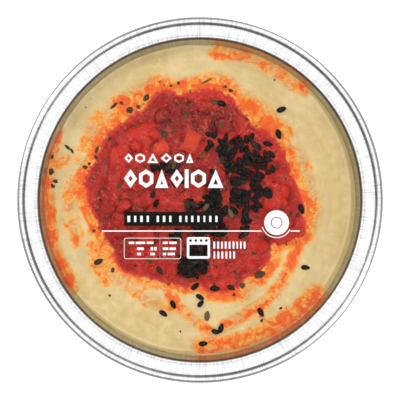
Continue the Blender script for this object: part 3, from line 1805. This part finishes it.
@dataclass
class LidPrint:
    """Plain bars, a rule, a disc and an oven sign printed on the film."""

    seat: float
    thickness: float = 0.03
    rows: tuple[PrintRow, ...] = ()
    badge_x: float = 24.7
    badge_y: float = -7.3
    sign_x: float = -0.5
    sign_y: float = -15.45

    def build(self, white: bpy.types.Material, black: bpy.types.Material) -> list[bpy.types.Object]:
        """Models and dresses the print.

        Args:
            white: The white ink.
            black: The black ink.

        Returns:
            The white and the black print.
        """
        lift = self.thickness + 0.01
        pale = [self._block(block) for block in self._white_blocks()]
        pale += [self._frame(Block(-15.3, -15.6, 18.4, 6.8, 0.0, 0.7), 0.16)]
        pale += [self._token(block, k) for k, block in enumerate(self._title_tokens())]
        pale += [self._sign_frame(), self._disc(self.badge_x, self.badge_y, 1.6, 28)]
        pale.append(self._hoop(self.badge_x, self.badge_y, 4.0, 1.9, 40))
        pale += [self._block(block, lift) for block in self._banner_blocks()]
        dark = [self._block(Block(-8.5, -6.1, 32.0, 4.5, 0.0, 0.02))]
        for k in range(4):
            x = self.sign_x + 1.69 * (k - 1.5)
            dark.append(self._disc(x, self.sign_y + 2.38, 0.44, 16, lift))
        made = []
        for name, pieces, material in (
            ("print_white", pale, white),
            ("print_black", dark, black),
        ):
            piece = merge_pieces(name, pieces)
            piece.data.materials.clear()
            piece.data.materials.append(material)
            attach(piece, BODY)
            made.append(piece)
        return made

    @staticmethod
    def _row(x: float, y: float, tall: float, widths: Sequence[float], gap: float) -> list[Block]:
        """Sets a row of blocks side by side.

        Args:
            x: Its left end.
            y: Its middle.
            tall: Height of the blocks.
            widths: Width of each block.
            gap: Space between two blocks.

        Returns:
            The blocks.
        """
        blocks = []
        for width in widths:
            blocks.append(Block(x + 0.5 * width, y, width, tall))
            x += width + gap
        return blocks

    def _white_blocks(self) -> list[Block]:
        """The white bars on the film."""
        blocks = [
            Block(-5.9, -10.0, 51.4, 0.36),
            Block(30.7, -10.0, 3.0, 0.36),
            Block(-12.9, -15.6, 0.14, 6.8),
            Block(-4.3, 6.9, 1.25, 6.0),
        ]
        for k in range(9):
            turn = math.radians(205.0 + 15.0 * k)
            x, y = self.badge_x + 4.8 * math.cos(turn), self.badge_y + 4.8 * math.sin(turn)
            blocks.append(Block(x, y, 1.35, 0.3, math.degrees(turn) + 90.0))
        for row in self.rows:
            blocks += self._row(*row)
        return blocks

    def _title_tokens(self) -> list[Block]:
        """Places of the two title rows' shapes, the upper ones smaller."""
        upper = self._row(-24.4, 13.5, 3.1, (2.8, 3.1, 3.6, 3.6, 3.1, 2.3), 0.75)
        lower = self._row(-24.5, 6.9, 6.0, (4.2, 4.6, 4.2, 4.2), 0.65)
        lower += self._row(-2.9, 6.9, 6.0, (4.8, 5.0), 0.65)
        return upper + lower

    def _banner_blocks(self) -> list[Block]:
        """The white bars on the black banner."""
        widths = (0.9, 0.7, 0.8, 0.7, 0.0, 0.7, 0.8, 0.7, 0.0, 0.7, 0.6, 0.7, 0.7, 0.6, 0.7, 0.7)
        return [b for b in self._row(-23.4, -6.1, 2.0, widths, 1.27) if b.wide > 0.0]

    def _plate(self, corner: float, block: Block, lift: float) -> bpy.types.Object:
        """Adds a flat rectangle with rounded corners on the film, unsolid."""
        bpy.ops.object.select_all(action="DESELECT")
        bpy.ops.mesh.primitive_plane_add(size=1.0)
        plate = bpy.context.active_object
        plate.scale = (block.wide * MM, block.tall * MM, 1.0)
        settle(plate)
        bpy.ops.object.mode_set(mode="EDIT")
        bpy.ops.mesh.select_all(action="SELECT")
        bpy.ops.mesh.bevel(offset=corner * MM, segments=3, affect="VERTICES")
        bpy.ops.object.mode_set(mode="OBJECT")
        plate.rotation_euler = (0.0, 0.0, math.radians(block.turn))
        plate.location = (block.x * MM, block.y * MM, (self.seat + lift) * MM)
        return settle(plate)

    def _thicken(self, plate: bpy.types.Object) -> bpy.types.Object:
        """Gives a flat shape the thickness of the ink, upwards."""
        apply_modifier(plate, "SOLIDIFY", thickness=self.thickness * MM, offset=1.0)
        return plate

    def _opened(self, flat: bpy.types.Object, line: float) -> bpy.types.Object:
        """Cuts the middle out of a flat shape and gives the rest its thickness.

        Args:
            flat: The shape.
            line: Width of what stays round its edge, in millimetres.

        Returns:
            The finished shape.
        """
        bpy.ops.object.mode_set(mode="EDIT")
        bpy.ops.mesh.select_all(action="SELECT")
        bpy.ops.mesh.inset(thickness=line * MM, use_even_offset=True)
        bpy.ops.mesh.delete(type="FACE")
        bpy.ops.object.mode_set(mode="OBJECT")
        return self._thicken(flat)

    def _block(self, block: Block, lift: float = 0.0) -> bpy.types.Object:
        """Models one printed bar."""
        return self._thicken(self._plate(block.corner, block, lift))

    def _frame(self, block: Block, line: float) -> bpy.types.Object:
        """Models a printed outline with rounded corners."""
        return self._opened(self._plate(block.corner, block, 0.0), line)

    def _token(self, block: Block, kind: int) -> bpy.types.Object:
        """Models one bold open shape of the title rows: by turns a diamond, a
        hexagon on its point and a triangle.

        Args:
            block: Its place and size.
            kind: Its place in the rows.

        Returns:
            The shape.
        """
        sides = (4, 6, 3)[kind % 3]
        bpy.ops.object.select_all(action="DESELECT")
        bpy.ops.mesh.primitive_circle_add(vertices=sides, radius=1.0, fill_type="NGON")
        token = settle(bpy.context.active_object)
        spans = [
            (min(values), max(values))
            for values in zip(*((v.co.x, v.co.y) for v in token.data.vertices))
        ]
        for vertex in token.data.vertices:
            shares = [
                (vertex.co[axis] - low) / (high - low) - 0.5
                for axis, (low, high) in enumerate(spans)
            ]
            place = (block.x + shares[0] * block.wide, block.y + shares[1] * block.tall)
            vertex.co = Vector((place[0] * MM, place[1] * MM, self.seat * MM))
        return self._opened(token, 0.19 * block.tall)

    def _sign_frame(self) -> bpy.types.Object:
        """Models the oven sign: a framed window under a solid strip."""
        frame_ = self._frame(Block(self.sign_x, self.sign_y, 7.5, 6.95, 0.0, 0.7), 0.8)
        strip = self._block(Block(self.sign_x, self.sign_y + 2.12, 6.6, 2.1), 0.006)
        return merge_pieces("sign", [frame_, strip])

    def _hoop(
        self, x: float, y: float, radius: float, hole: float, points: int
    ) -> bpy.types.Object:
        """Models a printed ring."""
        return self._opened(self._round(x, y, radius, points, 0.0), radius - hole)

    def _disc(
        self, x: float, y: float, radius: float, points: int, lift: float = 0.0
    ) -> bpy.types.Object:
        """Models a printed disc."""
        return self._thicken(self._round(x, y, radius, points, lift))

    def _round(
        self, x: float, y: float, radius: float, points: int, lift: float
    ) -> bpy.types.Object:
        """Adds a flat disc on the film, unsolid."""
        bpy.ops.object.select_all(action="DESELECT")
        place = (x * MM, y * MM, (self.seat + lift) * MM)
        bpy.ops.mesh.primitive_circle_add(
            vertices=points, radius=radius * MM, fill_type="NGON", location=place
        )
        return settle(bpy.context.active_object)


# --------------------------------------------------------------------------
# The studio
# --------------------------------------------------------------------------


@dataclass
class Studio:
    """A pale floor, soft lamps and a camera straight above."""

    lens_distance: float = 0.9
    half_view: float = 64.5
    rim_height: float = 28.8
    surround: float = 0.28
    lamps: tuple[tuple[str, Place, float, float], ...] = ()

    def build(self) -> None:
        """Builds the floor, the lamps and the camera."""
        self._floor()
        for name, place, size, power in self.lamps:
            self._lamp(name, place, size, power)
        self._surround(self.surround)
        self._camera()
        bpy.context.scene.view_settings.view_transform = "Standard"

    def _floor(self) -> None:
        """Lays the floor the tray stands on."""
        bpy.ops.object.select_all(action="DESELECT")
        bpy.ops.mesh.primitive_plane_add(size=6.0)
        floor = bpy.context.active_object
        floor.name = "floor"
        material, _, shader = new_material("Light table", Roughness=0.9)
        shader.inputs["Base Color"].default_value = (0.85, 0.85, 0.85, 1.0)
        shader.inputs["Emission Color"].default_value = (1.0, 1.0, 1.0, 1.0)
        shader.inputs["Emission Strength"].default_value = 0.55
        floor.data.materials.append(material)

    @staticmethod
    def _lamp(name: str, place: Place, size: float, power: float) -> None:
        """Hangs a square white lamp that faces the tray.

        Args:
            name: Its name.
            place: Where it hangs, in metres.
            size: Its side in metres.
            power: Its power in watts.
        """
        data = bpy.data.lights.new(name, "AREA")
        data.shape = "SQUARE"
        data.size = size
        data.energy = power
        lamp = bpy.data.objects.new(name, data)
        lamp.location = place
        aim = Vector() - Vector(place)
        lamp.rotation_euler = aim.to_track_quat("-Z", "Y").to_euler()
        bpy.context.scene.collection.objects.link(lamp)

    @staticmethod
    def _surround(level: float) -> None:
        """Fills the room with even light.

        Args:
            level: Its brightness.
        """
        world = bpy.data.worlds.new("Room")
        world.use_nodes = True
        world.node_tree.nodes["Background"].inputs[0].default_value = (1.0, 1.0, 1.0, 1.0)
        world.node_tree.nodes["Background"].inputs[1].default_value = level
        bpy.context.scene.world = world

    def _camera(self) -> None:
        """Sets the camera above the tray, looking straight down."""
        data = bpy.data.cameras.new("camera")
        data.sensor_width = 36.0
        reach = self.lens_distance - self.rim_height * MM
        data.lens = 0.5 * data.sensor_width * reach / (self.half_view * MM)
        data.clip_end = 20.0
        camera = bpy.data.objects.new("camera", data)
        camera.location = (0.0, 0.0, self.lens_distance)
        bpy.context.scene.collection.objects.link(camera)
        bpy.context.scene.camera = camera


# --------------------------------------------------------------------------
# This tray
# --------------------------------------------------------------------------

OIL = (
    Stroke(((5.0, 48.0), (15.0, 46.8), (24.0, 42.0), (33.5, 35.5)), 4.2, 0.75),
    Stroke(((8.0, 37.0), (18.0, 30.0), (26.0, 22.0)), 6.5, 0.6),
    Stroke(((31.0, 16.0), (35.0, 8.0), (37.0, 0.0), (35.0, -6.0)), 4.5, 0.45),
    Stroke(((33.0, -12.0), (30.0, -20.0), (26.0, -28.0), (20.0, -34.0), (8.0, -41.0)), 3.6, 0.9),
    Stroke(((-11.0, -28.0), (-8.0, -34.0), (-2.0, -39.0), (4.0, -44.0)), 3.4, 0.8),
    Stroke(((-31.0, -8.0), (-33.0, -16.0), (-30.0, -24.0)), 6.5, 0.75),
    Stroke(((-41.0, 6.0), (-42.5, -4.0), (-40.5, -13.0)), 5.5, 0.5),
    Stroke(((-28.0, -24.0), (-20.0, -31.0), (-11.0, -35.0)), 4.5, 0.5),
    Stroke(((-46.5, 21.0), (-49.5, 5.0), (-47.5, -14.0), (-41.0, -29.0)), 3.1, 0.95),
    Stroke(((-26.5, 30.5), (-19.0, 34.0), (-11.0, 36.5)), 4.5, 0.95),
    Stroke(((-5.0, 37.0), (4.0, 37.5), (12.0, 34.0), (19.0, 29.0)), 4.5, 1.1),
    Stroke(((0.0, -47.0), (14.0, -46.0), (28.0, -39.0), (38.0, -30.0)), 5.0, 0.95),
    Stroke(((-38.0, 17.0), (-34.0, 26.0), (-26.0, 33.0), (-16.0, 38.0)), 3.8, 0.5),
    Stroke(((-48.0, 10.0), (-42.0, 14.0), (-38.0, 12.0)), 3.0, 0.55),
    spot(-31.0, -26.5, 2.8, 0.85),
    spot(-39.0, -2.0, 4.0, 0.35),
)
PAPRIKA = (
    Stroke(((-45.0, 23.0), (-49.6, 8.0), (-49.8, -4.0), (-47.5, -16.0), (-41.0, -29.5)), 1.9, 1.0),
    Stroke(((0.0, -49.3), (14.0, -47.5), (27.0, -42.0), (36.0, -34.0)), 2.2, 0.95),
    Stroke(((27.0, -24.0), (25.0, -31.0), (18.0, -35.5), (9.0, -40.0)), 1.7, 0.75),
    Stroke(((31.0, -17.0), (28.0, -23.0)), 1.2, 0.7),
    Stroke(((-10.5, -30.5), (-6.0, -36.0), (-2.0, -39.0)), 1.3, 0.65),
    Stroke(((5.0, 47.8), (12.0, 47.0)), 1.6, 0.3),
    Stroke(((14.0, 45.5), (19.0, 44.5)), 1.6, 0.4),
    Stroke(((28.0, 37.0), (31.0, 35.5)), 1.6, 0.45),
    Stroke(((-26.0, 32.0), (-20.0, 35.0), (-14.0, 37.0)), 1.6, 0.5),
    spot(-30.5, -25.5, 1.5, 0.7),
    spot(-37.5, 13.0, 1.8, 0.8),
    spot(20.0, -38.0, 2.2, 0.95),
)
ZEST = (
    Stroke(((-36.0, -28.0), (-25.0, -37.0), (-12.0, -42.0)), 8.0, 0.5),
    Stroke(((42.0, 14.0), (45.0, 2.0), (44.0, -10.0)), 4.0, 0.35),
    Stroke(((-24.0, 36.0), (-14.0, 43.0)), 6.0, 0.4),
)
LUMPS = (
    Lump(-12.6, 16.8, 4.8, 3.8, 10.0, 1.0, 0.5),
    Lump(-2.9, 19.0, 7.2, 4.6, 60.0, 0.85, 0.55),
    Lump(1.3, 26.1, 5.0, 3.6, -15.0, 0.6, 0.5),
    Lump(23.6, 0.0, 7.4, 6.4, 80.0, 0.6, 0.75),
    Lump(8.1, 0.8, 4.6, 4.0, 45.0, 0.75, 0.45),
    Lump(13.4, 14.2, 3.6, 3.0, 0.0, 0.5, 0.4),
    Lump(8.7, -6.1, 4.0, 3.2, 20.0, 0.45, 0.4),
    Lump(-28.5, 6.0, 24.0, 5.0, 82.0, 0.25, 0.4),
    Lump(-24.5, 2.0, 17.0, 3.0, 100.0, 0.1, 0.1),
    Lump(-18.5, 20.5, 12.0, 8.0, 25.0, 0.55, 0.4),
    Lump(-25.5, 15.0, 8.0, 4.5, 50.0, 0.5, 0.35),
    Lump(-9.5, 28.0, 9.0, 5.0, 15.0, 0.45, 0.3),
    Lump(-17.5, 0.0, 6.0, 5.0, 40.0, 0.35, 0.35),
    Lump(-20.5, 5.0, 4.5, 3.6, 10.0, 0.4, 0.3),
    Lump(-8.0, 3.2, 5.4, 3.6, -20.0, 0.5, 0.3),
    Lump(27.0, -12.0, 7.0, 6.0, 20.0, 0.5, 0.3),
    Lump(14.0, -21.0, 9.0, 4.4, 10.0, 0.4, 0.3),
    Lump(-17.0, -21.5, 8.0, 6.0, 0.0, 0.35, 0.2),
    Lump(8.0, -26.5, 6.5, 4.0, 30.0, 0.55, 0.3),
    Lump(2.6, 30.5, 7.0, 4.0, 0.0, 0.4, 0.3),
    Lump(12.5, 25.5, 6.0, 4.2, -40.0, 0.45, 0.3),
)
DEEP_SAUCE = (
    Stroke(((-10.0, 27.5), (-2.0, 27.5), (9.0, 25.0)), 7.5, 0.75),
    Stroke(((-6.0, 12.0), (8.0, 8.0), (12.0, -4.0), (2.0, -12.0)), 10.0, 0.35),
    Stroke(((-30.5, 4.0), (-31.0, -5.0)), 6.0, 0.5),
)
SINGLE_SEEDS = (
    (26.4, 29.3, 20.0, 0.0), (25.5, 21.3, -75.0, 0.0), (32.9, -2.9, -70.0, 0.2),
    (34.2, -21.9, -5.0, 0.0), (19.7, -36.4, -60.0, 0.1), (10.0, -28.4, -25.0, 0.5),
    (4.8, -28.7, 0.0, 0.1), (0.0, -31.5, -30.0, 0.0), (0.2, -33.6, 50.0, 0.0),
    (-8.7, -33.9, -65.0, 0.1), (-11.9, -36.8, -35.0, 0.0), (2.3, -37.6, 85.0, 0.92),
    (6.8, -41.6, 75.0, 0.0), (5.0, -42.7, -25.0, 0.0), (1.0, -46.6, 5.0, 0.2),
    (-32.9, -20.0, 25.0, 0.6), (-13.2, -22.8, -60.0, 0.55), (-1.6, -28.0, 40.0, 0.1),
    (7.1, 31.3, -20.0, 0.2), (-14.2, -1.0, 60.0, 0.3), (-15.2, 1.9, 70.0, 0.5),
    (22.0, 18.2, -15.0, 0.0),
)  # fmt: skip
SEED_PATCHES = (
    Patch(3.8, 19.0, 1.2, 2.4, 4, 115.0),
    Patch(9.0, 16.3, 2.9, 3.6, 15),
    Patch(13.0, 18.3, 1.0, 1.8, 3, 80.0),
    Patch(17.0, 16.0, 2.2, 4.6, 12, 115.0),
    Patch(21.2, 11.5, 2.5, 4.0, 9, 60.0),
    Patch(14.0, 10.8, 1.9, 1.9, 6, -35.0),
    Patch(9.8, 11.0, 1.2, 1.5, 4),
    Patch(12.6, 6.4, 1.9, 1.6, 5, -30.0),
    Patch(17.6, 4.6, 1.5, 4.6, 9, 80.0),
    Patch(12.9, 0.9, 3.0, 2.2, 12),
    Patch(21.2, 2.6, 2.3, 1.6, 5, 40.0),
    Patch(4.4, 2.6, 1.6, 0.9, 3),
    Patch(3.9, -0.9, 2.5, 2.9, 12),
    Patch(-2.2, -1.8, 2.4, 1.2, 6),
    Patch(9.4, -3.6, 1.8, 0.8, 4),
    Patch(18.3, -3.0, 0.7, 1.4, 2, -60.0),
    Patch(14.6, -7.6, 1.0, 4.6, 9, 80.0),
    Patch(3.2, -10.0, 4.8, 1.5, 11),
    Patch(-7.6, -11.2, 1.3, 1.2, 4, -50.0),
    Patch(-0.9, -16.0, 3.2, 2.8, 12),
    Patch(-2.6, -20.9, 4.6, 2.2, 17),
    Patch(-2.8, -23.8, 2.2, 1.3, 6),
    Patch(-11.0, 11.0, 4.6, 0.8, 7),
    Patch(-3.0, 7.0, 8.0, 2.2, 8),
)
FLAKES = (
    (-22.9, 29.0, 2.2, 1.9, 20.0, 0.2), (-28.0, 30.6, 3.4, 0.9, 40.0, 0.2),
    (-25.6, 31.5, 1.6, 0.7, -30.0, 0.1), (-17.4, 33.0, 2.6, 1.5, 60.0, 0.3),
    (-7.1, 37.9, 1.3, 0.9, 70.0, 0.1), (-9.5, 37.0, 1.0, 0.7, 20.0, 0.1),
    (1.9, 38.4, 3.8, 0.5, 28.0, 0.6), (8.1, 36.8, 1.4, 0.9, 0.0, 0.3),
    (9.9, 35.5, 1.6, 1.1, 20.0, 0.3), (15.2, 26.1, 1.4, 1.0, 0.0, 0.3),
    (-43.0, 17.2, 2.4, 0.9, -45.0, 0.2), (-41.6, 16.0, 2.2, 0.7, -50.0, 0.1),
    (-37.4, 10.6, 1.8, 1.0, -10.0, 0.0), (-36.0, 11.8, 1.2, 0.8, 40.0, 0.3),
    (-33.5, 16.2, 3.0, 0.9, 75.0, 0.7), (-33.9, 13.9, 1.8, 0.9, -60.0, 0.3),
    (-46.9, 6.2, 1.8, 1.2, -20.0, 0.2), (-47.8, 4.5, 1.5, 1.2, 30.0, 0.1),
    (-48.2, 9.0, 2.2, 1.5, 80.0, 0.1), (-48.0, 14.0, 1.6, 0.8, 70.0, 0.1),
    (19.2, -24.2, 3.8, 2.2, 35.0, 0.3), (13.6, -27.9, 2.0, 1.7, 10.0, 0.8),
    (-11.6, 21.6, 3.4, 2.0, -50.0, 0.2), (-8.4, 22.2, 1.8, 0.9, 70.0, 0.6),
    (-26.1, 4.5, 2.6, 1.2, 60.0, 0.7), (-26.0, 0.2, 1.8, 1.2, 10.0, 0.7),
    (-4.8, 28.0, 5.2, 1.0, -25.0, 0.5), (-3.6, 31.6, 4.6, 1.0, 48.0, 0.0),
    (-6.4, 31.6, 1.6, 0.9, 50.0, 0.1), (6.6, 24.4, 2.6, 1.4, -30.0, 0.6),
    (4.4, 31.6, 2.4, 1.6, 0.0, 0.7), (0.6, 15.0, 1.8, 1.3, 20.0, 0.9),
    (24.8, 10.4, 1.6, 1.4, 0.0, 0.7), (29.4, -4.6, 1.8, 1.0, 70.0, 0.3),
    (-29.4, 19.8, 2.2, 0.9, 55.0, 0.0), (-37.0, 30.0, 0.5, 0.5, 0.0, 0.0),
    (-29.3, -31.0, 0.8, 0.7, 0.0, 0.0), (-6.4, -42.6, 0.7, 0.6, 0.0, 0.0),
    (20.0, -39.2, 1.3, 0.8, 80.0, 0.2), (26.2, -35.2, 1.2, 0.7, 40.0, 0.5),
    (24.2, 39.0, 0.6, 0.6, 0.0, 0.0), (-16.4, -19.8, 2.4, 1.2, -20.0, 0.7),
    (17.4, -17.4, 1.8, 1.0, 0.0, 0.6), (14.8, -15.8, 1.2, 0.8, 30.0, 0.4),
)  # fmt: skip
SMALL_PRINT = (
    (-23.0, -13.8, 0.75, (1.8, 3.0, 2.2), 0.5),
    (-12.0, -13.8, 0.75, (1.6, 2.4), 0.5),
    (-20.3, -15.7, 0.85, (2.2,), 0.5),
    (-15.9, -15.7, 1.1, (0.8, 0.8), 0.35),
    (-12.0, -15.7, 0.85, (1.8, 2.0), 0.4),
    (-20.3, -17.4, 0.8, (1.3,), 0.5),
    (-16.0, -17.4, 0.8, (1.5,), 0.35),
    (-12.0, -17.4, 0.8, (1.1, 2.3), 0.5),
    (4.3, -14.55, 2.3, (0.6, 0.6, 0.5, 0.6, 0.6, 0.6, 0.5, 0.5, 0.6), 0.66),
    (4.4, -17.75, 2.3, (0.5, 0.6, 0.6, 0.6, 0.5, 0.6), 0.7),
)
LAMPS = (
    ("overhead", (0.0, 0.0, 1.0), 1.7, 10.2),
    ("window", (-0.9, 0.5, 0.75), 0.45, 4.2),
    ("fill", (0.8, -0.6, 0.7), 0.45, 3.0),
    ("back", (0.5, 0.9, 0.7), 0.45, 2.2),
)


def main() -> None:
    """Builds the tray, its food, its film and the studio."""
    logging.basicConfig(level=logging.INFO, format="%(message)s")
    effects = Effects()
    outline = Outline()
    tray = FoilTray()
    tray.build(FoilFinish().build(effects))
    log.info("foil tray built")
    hummus = HummusBody(tray, outline, oil=OIL, paprika=PAPRIKA, zest=ZEST)
    hummus_piece = hummus.build(HummusFinish().build(effects))
    log.info("hummus built")
    depsgraph = bpy.context.evaluated_depsgraph_get()
    sauce = PepperSauce(outline, lumps=LUMPS, deep=DEEP_SAUCE)
    sauce_piece = sauce.build(
        SauceFinish().build(effects), BVHTree.FromObject(hummus_piece, depsgraph)
    )
    log.info("sauce built, %d faces", len(sauce_piece.data.polygons))
    ground = Ground([hummus_piece, sauce_piece])
    HerbFlakes(outline, flakes=FLAKES).build(HerbFinish().build(effects), ground)
    log.info("herbs built")
    SesameSeeds(singles=SINGLE_SEEDS, patches=SEED_PATCHES).build(
        SeedFinish().build(effects), ground
    )
    film = LidFilm()
    film.build(FilmFinish().build(effects))
    white = InkFinish("White ink", (254, 254, 254), (248, 248, 248)).build(effects)
    black = InkFinish("Black ink", (20, 19, 17), (27, 26, 24)).build(effects)
    LidPrint(film.top + 0.01, rows=SMALL_PRINT).build(white, black)
    log.info("film and print built")
    Studio(lamps=LAMPS).build()


if __name__ == "__main__":
    main()
